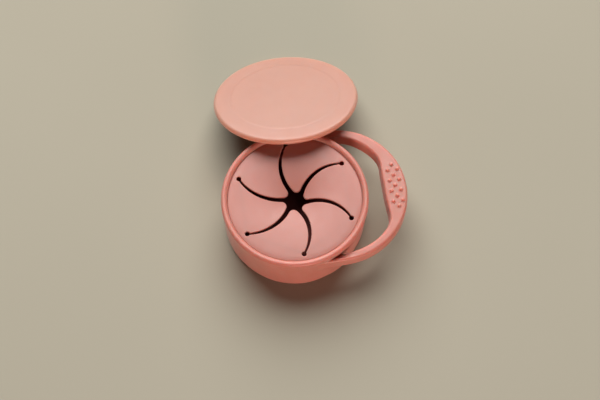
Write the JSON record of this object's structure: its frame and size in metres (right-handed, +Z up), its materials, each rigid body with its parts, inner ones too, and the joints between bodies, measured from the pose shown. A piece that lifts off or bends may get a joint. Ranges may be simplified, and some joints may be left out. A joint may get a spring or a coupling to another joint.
{
  "type": "collapsible snack cup",
  "caption": "Collapsible silicone snack cup with a loop handle, a pinwheel of soft flaps in its mouth and a round lift-off cover.",
  "frame": {"origin": "on the floor under the middle of the cup, at the middle of the base's underside", "axes": "+Z up, +X from the cup towards the handle, +Y towards the leaning cover"},
  "size_m": [0.114, 0.1578, 0.0449],
  "materials": {
    "cup_silicone": "matt",
    "flap_silicone": "matt",
    "cover_silicone": "matt"
  },
  "bodies": {
    "base": {"base_cup": "cup_silicone", "fold_web": "cup_silicone"},
    "upper": {"cup_ring": "cup_silicone", "handle": "cup_silicone", "flap_ring": "flap_silicone"},
    "cover": {"cover": "cover_silicone"},
    "flap_1": {"flap_1": "flap_silicone"},
    "flap_2": {"flap_2": "flap_silicone"},
    "flap_3": {"flap_3": "flap_silicone"},
    "flap_4": {"flap_4": "flap_silicone"},
    "flap_5": {"flap_5": "flap_silicone"},
    "flap_6": {"flap_6": "flap_silicone"}
  },
  "joints": [
    {"name": "expand", "type": "slide", "parent": "base", "child": "upper", "axis": [0, 0, 1], "range_m": [0, 0.034], "deforming": ["fold_web"]},
    {"name": "cover_lift", "type": "slide", "parent": "upper", "child": "cover", "axis": [0, 0, 1], "range_m": [0, 0.08]},
    {"name": "flap_1_bend", "type": "hinge", "parent": "upper", "child": "flap_1", "pos_m": [0.03187, 0, 0.0305], "axis": [0, -1, 0], "range_deg": [-35, 50], "stiffness_Nm_per_rad": 0.02},
    {"name": "flap_2_bend", "type": "hinge", "parent": "upper", "child": "flap_2", "pos_m": [0.01594, 0.0276, 0.0305], "axis": [0.866, -0.5, 0], "range_deg": [-35, 50], "stiffness_Nm_per_rad": 0.02},
    {"name": "flap_3_bend", "type": "hinge", "parent": "upper", "child": "flap_3", "pos_m": [-0.01594, 0.0276, 0.0305], "axis": [0.866, 0.5, 0], "range_deg": [-35, 50], "stiffness_Nm_per_rad": 0.02},
    {"name": "flap_4_bend", "type": "hinge", "parent": "upper", "child": "flap_4", "pos_m": [-0.03187, 0, 0.0305], "axis": [0, 1, 0], "range_deg": [-35, 50], "stiffness_Nm_per_rad": 0.02},
    {"name": "flap_5_bend", "type": "hinge", "parent": "upper", "child": "flap_5", "pos_m": [-0.01594, -0.0276, 0.0305], "axis": [-0.866, 0.5, 0], "range_deg": [-35, 50], "stiffness_Nm_per_rad": 0.02},
    {"name": "flap_6_bend", "type": "hinge", "parent": "upper", "child": "flap_6", "pos_m": [0.01594, -0.0276, 0.0305], "axis": [-0.866, -0.5, 0], "range_deg": [-35, 50], "stiffness_Nm_per_rad": 0.02}
  ]
}
